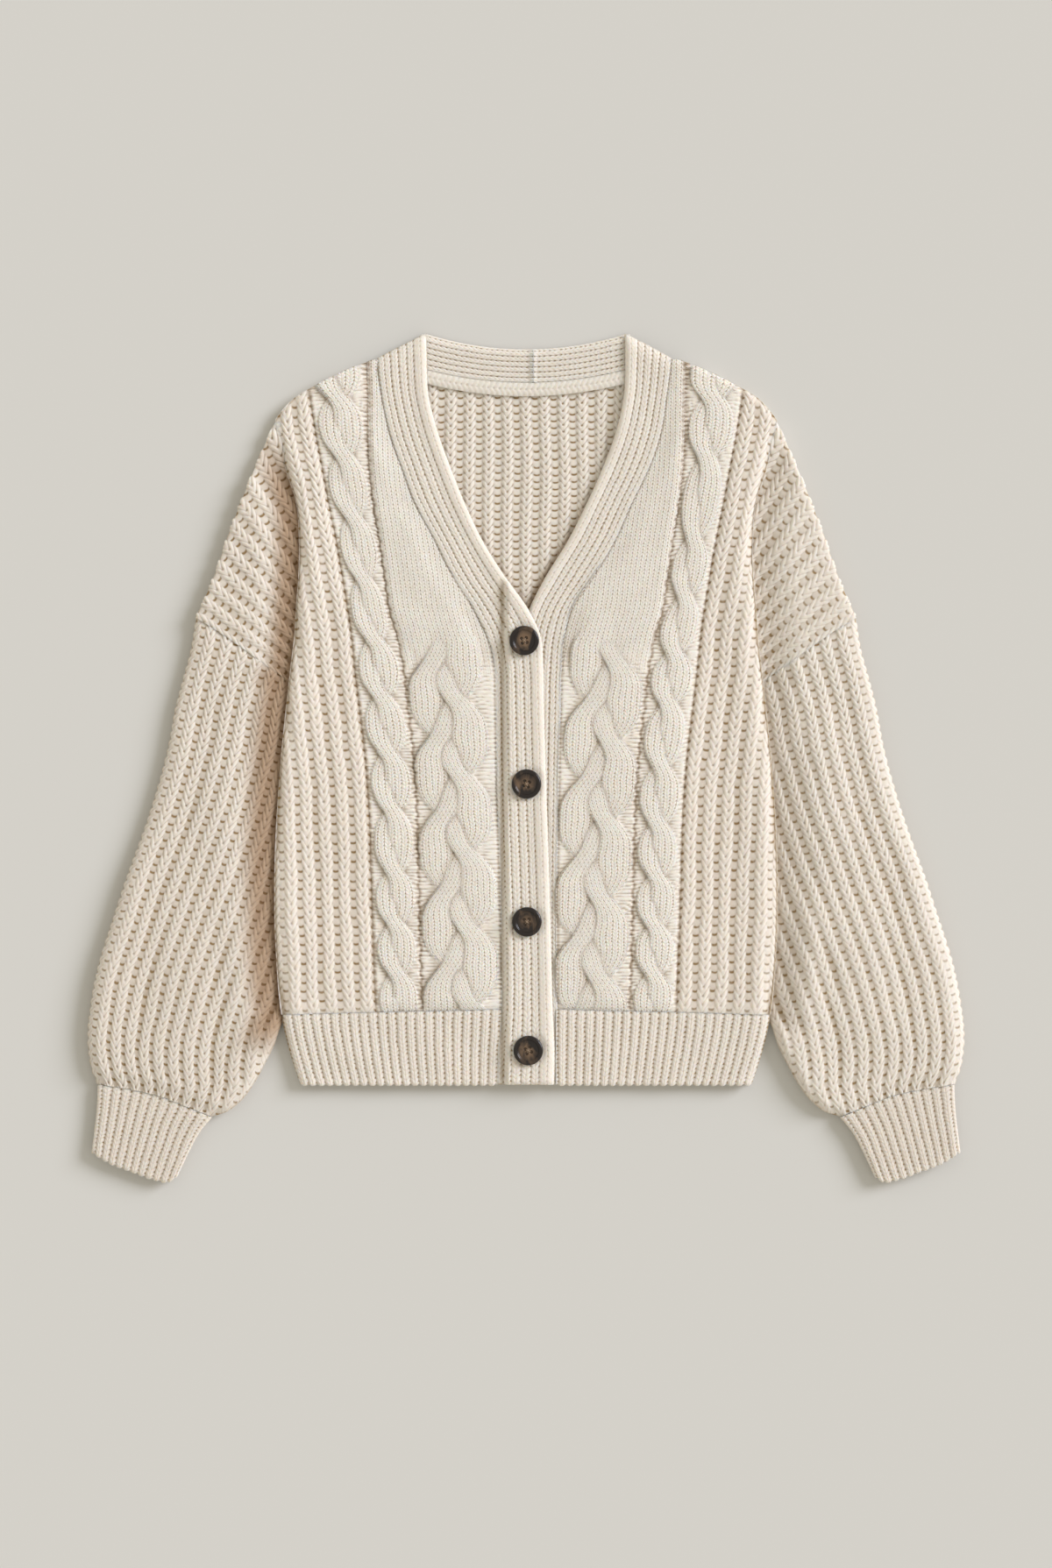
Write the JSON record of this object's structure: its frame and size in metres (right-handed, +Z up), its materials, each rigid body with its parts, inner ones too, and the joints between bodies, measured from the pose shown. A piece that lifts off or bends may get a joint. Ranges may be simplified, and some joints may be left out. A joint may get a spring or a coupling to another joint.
{
  "type": "button cardigan",
  "caption": "Chunky cable-knit cardigan with a V neck, balloon sleeves, ribbed cuffs and hem and a buttoned front, laid flat on its back.",
  "frame": {"origin": "middle of the garment's box, on the surface that the back lies on", "axes": "+X from the wearer's right to the wearer's left, +Y from the hem to the neck, +Z up from the back to the fronts"},
  "size_m": [0.84, 0.8134, 0.0221],
  "materials": {
    "wool": "thick cream knit, matt",
    "horn": "dark brown mottled horn look, polished"
  },
  "bodies": {
    "root": {"back": "wool", "hem_back": "wool", "front_left": "wool", "front_right": "wool", "hem_front_left": "wool", "hem_front_right": "wool", "band_left": "wool", "band_right": "wool", "neck_strip": "wool", "sleeve_left": "wool", "sleeve_right": "wool", "cuff_left": "wool", "cuff_right": "wool", "button_1": "horn", "button_2": "horn", "button_3": "horn", "button_4": "horn"}
  },
  "joints": []
}
